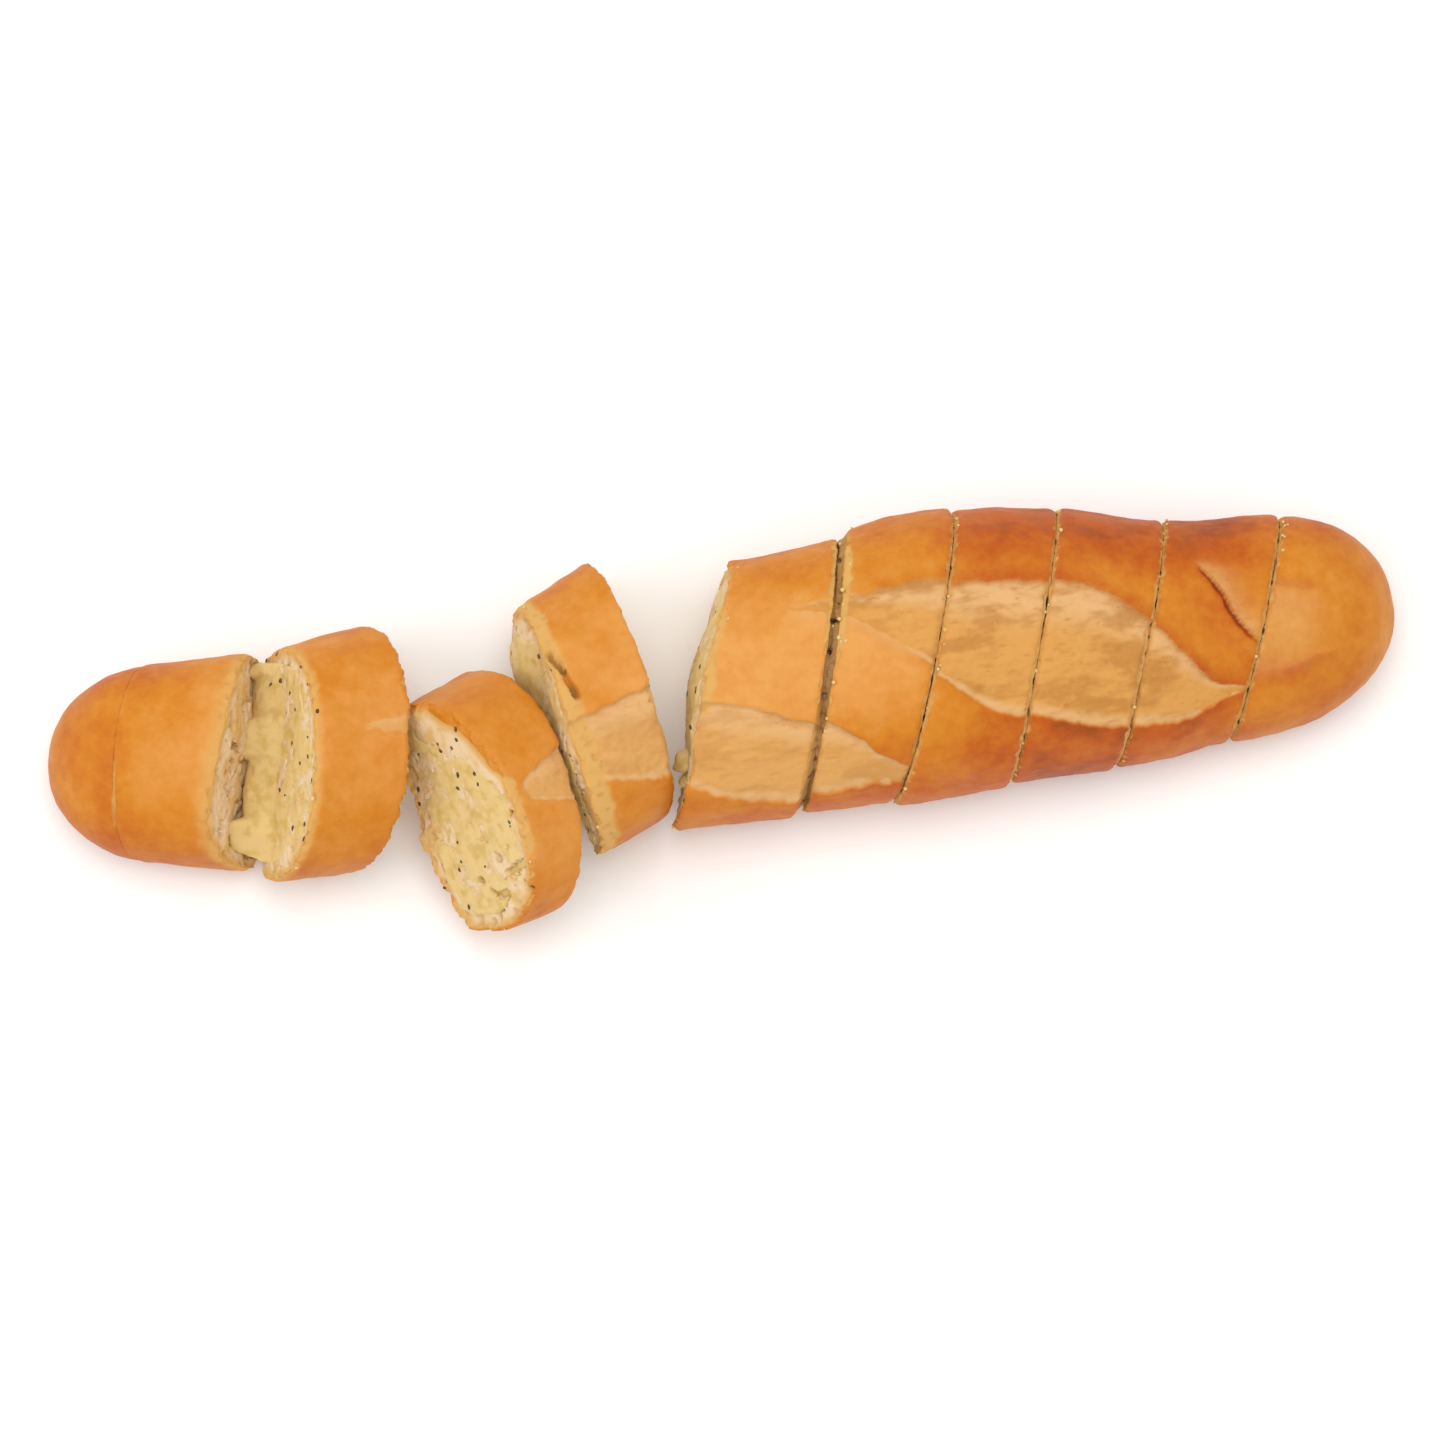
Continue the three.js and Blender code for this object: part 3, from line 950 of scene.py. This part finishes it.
def bake_piece(name, s, textures, material):
    """Makes one piece of bread of its solid: dented, scored, torn, opened into crumb, and coloured."""
    piece = PIECES[name]
    obj = copied(name, f"{name}_bread")
    piece.settle(vertices(obj))
    skin = Skin(obj, piece)
    applied(obj, "REMESH", mode="VOXEL", voxel_size=s.mesh_grain, use_smooth_shade=True)
    applied(obj, "SMOOTH", factor=0.5, iterations=4)

    points = vertices(obj)
    at = piece.to_loaf(points)
    under_crust, crust_out = skin.depth("crust", points)
    from_cut = {side: skin.depth(side, points) for side in ("left", "right") if side in skin.trees}
    nearest_cut = np.min([d for d, _ in from_cut.values()], axis=0)
    on_cut = fade(nearest_cut, *SURFACE)
    on_crust = fade(under_crust, *SURFACE)

    # Scores, ears and folds lift or lower the crust, and carry the crumb just under it along.
    opened, crossed, rise, toast_and_crease_shade, browned = score_relief(name, at)
    points += crust_out * (rise * fade(under_crust, 0.0, CRUST_CARRIES) * MM)[:, None]
    # Squeezed crumb swells out of a cut, and the crust beside it leans over, raggedly.
    rim, crack, closed, rounded, painted_groove_shade = np.zeros((5, len(points)))
    tear = waver(at, "crust edge") * fade(under_crust, *TEAR_UNDER)
    for side, (distance, outward) in from_cut.items():
        face = f"{name} {side}"
        lean = LIPS.get(face, 0) * fade(under_crust, *LEAN_UNDER)
        rounding = CLOSED_ROUNDING if face in CLOSED_CUT else 1.0
        rounded = np.maximum(rounded, rounding * fade(distance, 0, ROUNDED))
        lost, shallow, deep, shadow = WIDE_GROOVE if face in WIDE_CUT else GROOVE
        if face not in CLOSED_CUT:
            lean *= 1 - lost * fade(under_crust, shallow, deep)
        if name in STANDING and face in LIPS:
            painted_groove_shade = np.maximum(painted_groove_shade, shadow * fade(distance, *SURFACE))
        tear_here = RAGGED.get(face, RAGGED_STANDING if name in STANDING else 1.0) * tear
        held = fade(distance, 0.0, CUT_CARRIES)
        soft = SOFT_RIMS.get(face, CRISP_RIM)
        chip = ramp(flaked(face, at) - distance, -soft, soft) * on_crust
        within = np.maximum(ramp(under_crust, *CRACKS_OPEN), chip)
        torn = cracked(face, at) * fade(distance, *CRACK_REACH) * within
        split = split_open(face, at, distance) * fade(under_crust, *SPLIT_UNDER)
        points -= crust_out * (split * MM)[:, None]
        crack = np.maximum(crack, np.maximum(torn, split))
        closed = np.maximum(closed, closed_crumb(face, at) * held)
        points += outward * (((swell(face, at) + lean + tear_here) * held - torn) * MM)[:, None]
        rim = np.maximum(rim, chip)
    # The edge of the crust is rounded, and the flaked rim has lost the thickness of its crust.
    edge = fade(under_crust, *EDGE_UNDER)
    points -= crust_out * ((EDGE_LOSS * rounded * edge + EDGE_LOSS * rim) * MM)[:, None]
    move_vertices(obj, points)
    for curled, (low, high), thicker in CURLED_RIMS:
        if curled == name:
            under_crust -= thicker * banded(at[:, 1], low, high) * ramp(at[:, 2], *CURL_FOOT)
    rim *= under_crust > -0.5

    rough = np.maximum(on_cut * ramp(under_crust, *CRUMB_OPENS), RIM_ROUGHNESS * rim)
    crumb = weigh(obj, "crumb", rough * (1 - CLOSED_SMOOTH * closed))
    heart = weigh(obj, "heart", on_cut * ramp(under_crust, *HOLES_OPEN) * (1 - closed))
    dented = fade(under_crust, 0, 3) * ramp(at[:, 2], *DENT_FOOT) * ramp(nearest_cut, 0, 3)

    def displaced(texture, group, strength, level=0.5):
        relief = {"texture": textures[texture], "vertex_group": group}
        applied(obj, "DISPLACE", strength=strength, mid_level=level, **relief)

    displaced("dents", weigh(obj, "skin", dented), 2 * s.crust_dent)
    displaced("wave", crumb, s.crumb_wave, WAVE_LEVEL)
    before = vertices(obj)
    facing = normals(obj)
    displaced("grain", crumb, -s.crumb_grain, GRAIN_LEVEL)
    displaced("pores", crumb, -s.pore_depth * PORE_SHARE, 0)
    displaced("holes", heart, -s.pore_depth * HOLE_SHARE, 0)
    # The depth that each pore sank is kept as painted shade for the material, with more of it in cracks.
    hollow_shade = ((before - vertices(obj)) * facing).sum(axis=1) / MM + CRACK_SHADE * crack
    hollow_shade *= HOLLOW_SHADE_SHARE.get(name, 1.0)
    # Standing cuts get a painted shadow along their groove, just under the crust.
    hollow_shade += painted_groove_shade * banded(under_crust, *GROOVE_SHADE) * ramp(at[:, 2], *GROOVE_FOOT)

    # Nothing may sink through the board.
    points = vertices(obj)
    points[:, 2] = np.maximum(points[:, 2], 0.0)
    move_vertices(obj, points)

    under_crust *= np.maximum(on_cut, 1 - on_crust)
    hollow_shade = np.clip(hollow_shade, 0, DEEPEST_HOLLOW_SHADE)
    found = (under_crust, opened, crossed, browned, baked_and_shaded(at, toast_and_crease_shade), hollow_shade, rim)
    for attribute, values in zip(BREAD_ATTRIBUTES, found):
        store(obj, attribute, values)
    obj.vertex_groups.clear()
    obj.data.materials.append(material)
    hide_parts(name)
    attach(obj, "root")


# ---------- the butter and the herbs
# Size of the faces that the butter is modelled with.
FILM_GRAIN = 0.42 * MM
# How far under the cut face the film's back lies, and the most that its front sinks there.
FILM_BACK = -1.2
FILM_LOW = -0.9
# Herbs lie between these distances past the cut, where the face looks this much along the cut's direction.
FACE_FROM, FACE_TO = -9.5, 2.2
FACE_LEAN = 0.75
# Beads lie this near the cut, above this height, where the face has turned about halfway to the crust.
EDGE_REACH = 2.2
EDGE_FOOT = 8
EDGE_LEAN, EDGE_LEAN_SPREAD = 0.45, 0.2
# How far under closed crumb, and under the bottom of a crack, the film lies out of sight.
UNDER_CLOSED = 1.5
UNDER_CRACK = 1.2
# A bead's radius, how many are big ones and how much bigger, and how far it lies along the bread's normal
# and out of the cut. A leaf's radius next to its usual size, and how much of its thickness it has lost.
BEAD_SIZE = (0.28, 0.6)
BIG_BEADS, BIG_BEAD = 0.12, 1.4
BEAD_LIFT = (-1.8, 0.1)
BEAD_OUT = (0.1, 1.0)
LEAF_SIZE = (0.3, 0.68)
LEAF_PRESSED = 0.7
LUMP_WAVER = 0.35
FIRST_SEED = 70


def pooled(piece, points, at, off_face, outward, pool):
    """Fills the valley in front of a film up to its depth, over the film's own pools."""
    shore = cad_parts[POOL_SHORE].data
    corners = [tuple(v.co) for v in shore.vertices]
    tree = BVHTree.FromPolygons(corners, [tuple(p.vertices) for p in shore.polygons])
    across = Vector(piece.turned(outward))
    reach = np.array([tree.ray_cast(p, across)[3] or 1.0 for p in points]) / MM + off_face
    reach += waver(at, "shore")
    deepest = along(POOL_DEPTH, at[:, 1])
    mound = fade(reach, deepest, deepest + POOL_SHOULDER)
    slit = sum(banded(at[:, 1], low, high, 0.8) for low, high in POOL_SLITS)
    depth = np.minimum(reach + 0.9, deepest + waver(at, "curd")) * (1 - SLIT_DEPTH * slit)
    return pool + mound * (depth + 0.2 - pool)


def butter_film(index, s):
    """The butter on a cut face: a copy of its solid, sunk until only its pools stand out of the crumb."""
    name = list(PIECES)[index]
    piece = PIECES[name]
    film = copied(f"garlic_butter_{index}", f"garlic_butter_{index}_film")
    applied(film, "REMESH", mode="VOXEL", voxel_size=FILM_GRAIN, use_smooth_shade=True)
    points = vertices(film)
    at = piece.to_loaf(points)
    outward = -np.array(piece.left.direction())
    off_face = -piece.left.distance(at) * piece.left.direction().x
    middle = (off_face.min() + off_face.max()) / 2
    half = (off_face.max() - off_face.min()) / 2
    share = np.clip((off_face - middle) / half, -1, 1) * 0.5 + 0.5
    pool = s.film / MM + s.film_wave / MM * (wander(at, 6, index) + 0.5 * wander(at, 2.2, index + 5))
    pool = np.maximum(pool, FILM_LOW)
    if name == POOLED:
        pool = pooled(piece, points, at, off_face, outward, pool)
    face = f"{name} left"
    pool += swell(face, at)
    crack = cracked(face, at)
    pool -= UNDER_CLOSED * closed_crumb(face, at) + np.where(crack > 0, crack + UNDER_CRACK, 0)
    target = (1 - share) * FILM_BACK + share * pool
    points += piece.turned((target - off_face)[:, None] * outward) * MM
    move_vertices(film, points)
    return film


def lump(draw, centre, size, facets):
    """A small irregular lump round centre, with its radius or three radii in metres."""
    bpy.ops.object.select_all(action="DESELECT")
    bpy.ops.mesh.primitive_ico_sphere_add(subdivisions=facets, radius=1)
    obj = bpy.context.object
    points = vertices(obj)
    points *= (1 + LUMP_WAVER * wander(points, 0.9, draw.uniform(0, 90)))[:, None]
    turn = Quaternion([draw.gauss(0, 1) for _ in range(4)]).normalized()
    move_vertices(obj, (points * size) @ np.array(turn.to_matrix()) + centre)
    return obj


def joined(parts, name):
    """All the parts as one object."""
    bpy.ops.object.select_all(action="DESELECT")
    for part in parts:
        part.select_set(True)
    bpy.context.view_layer.objects.active = parts[0]
    bpy.ops.object.join()
    obj = bpy.context.object
    obj.name = obj.data.name = name
    return obj


def spread_butter(index, s, materials):
    """Makes the butter of one cut: its film, what was squeezed out, and the chopped leaves on it."""
    draw = random.Random(FIRST_SEED + index)
    name = list(PIECES)[index]
    piece = PIECES[name]
    bread = bpy.data.objects[f"{name}_bread"]
    film = butter_film(index, s)
    parts = []

    def keep(part, slot=0):
        for material in materials:
            part.data.materials.append(material)
        part.data.polygons.foreach_set("material_index", [slot] * len(part.data.polygons))
        parts.append(part)

    keep(film)
    points = np.concatenate((vertices(bread), vertices(film)))
    facing = np.concatenate((normals(bread), normals(film)))
    at = piece.to_loaf(points)
    past_cut = piece.left.distance(at)
    outward = piece.turned(-np.array(piece.left.direction()))
    leaning = facing @ outward
    face = np.nonzero((past_cut < FACE_TO) & (past_cut > FACE_FROM) & (leaning > FACE_LEAN))[0]
    by_edge = (np.abs(past_cut) < EDGE_REACH) & (np.abs(leaning - EDGE_LEAN) < EDGE_LEAN_SPREAD)
    edge = np.nonzero(by_edge & (at[:, 2] > EDGE_FOOT))[0]

    for _ in range(BEAD_SHARE.get(name, 1) * s.beads):
        spot = draw.choice(edge)
        size = draw.uniform(*BEAD_SIZE) * (BIG_BEAD if draw.random() < BIG_BEADS else 1)
        sunk = facing[spot] * draw.uniform(*BEAD_LIFT) + outward * draw.uniform(*BEAD_OUT)
        keep(lump(draw, points[spot] + sunk * MM, size * MM, 1))
    for lump_of, centre, radii in LUMPS:
        if lump_of == index:
            keep(lump(draw, np.array(centre) * MM, np.array(radii) * MM, 3))
    for _ in range(s.flecks):
        spot = draw.choice(face)
        fleck = lump(draw, points[spot], s.fleck_size * draw.uniform(*LEAF_SIZE), 1)
        leaf = vertices(fleck)
        above = (leaf - points[spot]) @ facing[spot]
        move_vertices(fleck, leaf - LEAF_PRESSED * above[:, None] * facing[spot])
        keep(fleck, 1)
    obj = joined(parts, f"garlic_butter_{index}_spread")
    only(obj)
    bpy.ops.object.shade_smooth()
    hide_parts(f"garlic_butter_{index}")
    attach(obj, "root")


# ---------- operators
class BREAD_OT_bake(bpy.types.Operator):
    """Makes the heels and slices, with their crust, scores and crumb"""

    bl_idname = "bread.bake"
    bl_label = "Bake the bread"

    def execute(self, context):
        s = context.scene.bread
        textures = textures_for_bread()
        material = baked_wheat_bread(s)
        for name in PIECES:
            bake_piece(name, s, textures, material)
        return {"FINISHED"}


class BREAD_OT_butter(bpy.types.Operator):
    """Spreads garlic butter and herbs in the cuts"""

    bl_idname = "bread.butter"
    bl_label = "Spread the butter"

    def execute(self, context):
        s = context.scene.bread_butter
        materials = (garlic_butter(s), chopped_parsley(s))
        for index in range(1, len(PIECES)):
            spread_butter(index, s, materials)
        return {"FINISHED"}


FLOOR_SIZE = 6
LIGHT_SIZE = 0.7
KEY_PLACE = (0.05, 0.15, 1.1)
SIDE_PLACE = (-0.8, 0.0, 0.8)
# The middle of the view, in the loaf's frame.
VIEW_MIDDLE = Vector((121.65, -6.77, 20))


def area_light(name, power, place):
    """A round soft light that looks at the middle of the board."""
    data = bpy.data.lights.new(name, "AREA")
    data.shape = "DISK"
    data.energy, data.size = power, LIGHT_SIZE
    obj = bpy.data.objects.new(name, data)
    bpy.context.scene.collection.objects.link(obj)
    obj.location = place
    obj.rotation_euler = Vector(place).to_track_quat("Z", "Y").to_euler()


class BREAD_OT_stage(bpy.types.Operator):
    """Sets out the pale board, the soft lights and the camera"""

    bl_idname = "bread.stage"
    bl_label = "Set the stage"

    def execute(self, context):
        s = context.scene.bread_stage
        bpy.ops.object.select_all(action="DESELECT")
        bpy.ops.mesh.primitive_plane_add(size=FLOOR_SIZE, location=(0, 0, 0))
        floor = context.object
        floor.name = "board"
        material, tree, _ = new_material("matt_white_board")
        look = {"Base Color": rgba(s.floor), "Roughness": 0.9, "Specular IOR Level": 0.1}
        add(tree, "ShaderNodeOutputMaterial", {"Surface": add(tree, PRINCIPLED, look)})
        floor.data.materials.append(material)

        world = bpy.data.worlds.new("soft_sky")
        world.use_nodes = True
        sky = world.node_tree.nodes["Background"].inputs
        sky["Color"].default_value = (1, 1, 1, 1)
        sky["Strength"].default_value = s.sky
        context.scene.world = world
        area_light("key", s.key_power, KEY_PLACE)
        area_light("side", s.side_power, SIDE_PLACE)

        camera = bpy.data.objects.new("camera", bpy.data.cameras.new("camera"))
        context.scene.collection.objects.link(camera)
        turn, rise = s.camera_turn, s.camera_rise
        back = Vector((math.sin(turn) * math.cos(rise), -math.cos(turn) * math.cos(rise), math.sin(rise)))
        camera.location = (VIEW_MIDDLE + LOAF_TIP) * MM + back * s.camera_distance
        camera.rotation_euler = back.to_track_quat("Z", "Y").to_euler()
        camera.data.lens = s.lens
        camera.data.sensor_width = 36
        camera.data.clip_end = 20
        context.scene.camera = camera
        context.scene.view_settings.view_transform = "Standard"
        return {"FINISHED"}


class BREAD_PT_panel(bpy.types.Panel):
    """Lists the settings and the steps of the garlic bread"""

    bl_idname = "BREAD_PT_panel"
    bl_label = "Garlic bread"
    bl_space_type = "VIEW_3D"
    bl_region_type = "UI"
    bl_category = "Garlic bread"

    def draw(self, context):
        for settings, operator in (
            (context.scene.bread, "bread.bake"),
            (context.scene.bread_butter, "bread.butter"),
            (context.scene.bread_stage, "bread.stage"),
        ):
            box = self.layout.box()
            for key in settings.__annotations__:
                box.prop(settings, key)
            box.operator(operator)


CLASSES = (
    BreadSettings,
    ButterSettings,
    StageSettings,
    BREAD_OT_bake,
    BREAD_OT_butter,
    BREAD_OT_stage,
    BREAD_PT_panel,
)


def register():
    for cls in CLASSES:
        bpy.utils.register_class(cls)
    bpy.types.Scene.bread = PointerProperty(type=BreadSettings)
    bpy.types.Scene.bread_butter = PointerProperty(type=ButterSettings)
    bpy.types.Scene.bread_stage = PointerProperty(type=StageSettings)


def unregister():
    for name in ("bread", "bread_butter", "bread_stage"):
        delattr(bpy.types.Scene, name)
    for cls in reversed(CLASSES):
        bpy.utils.unregister_class(cls)


def main():
    register()
    bpy.ops.bread.bake()
    bpy.ops.bread.butter()
    bpy.ops.bread.stage()


if __name__ == "__main__":
    main()
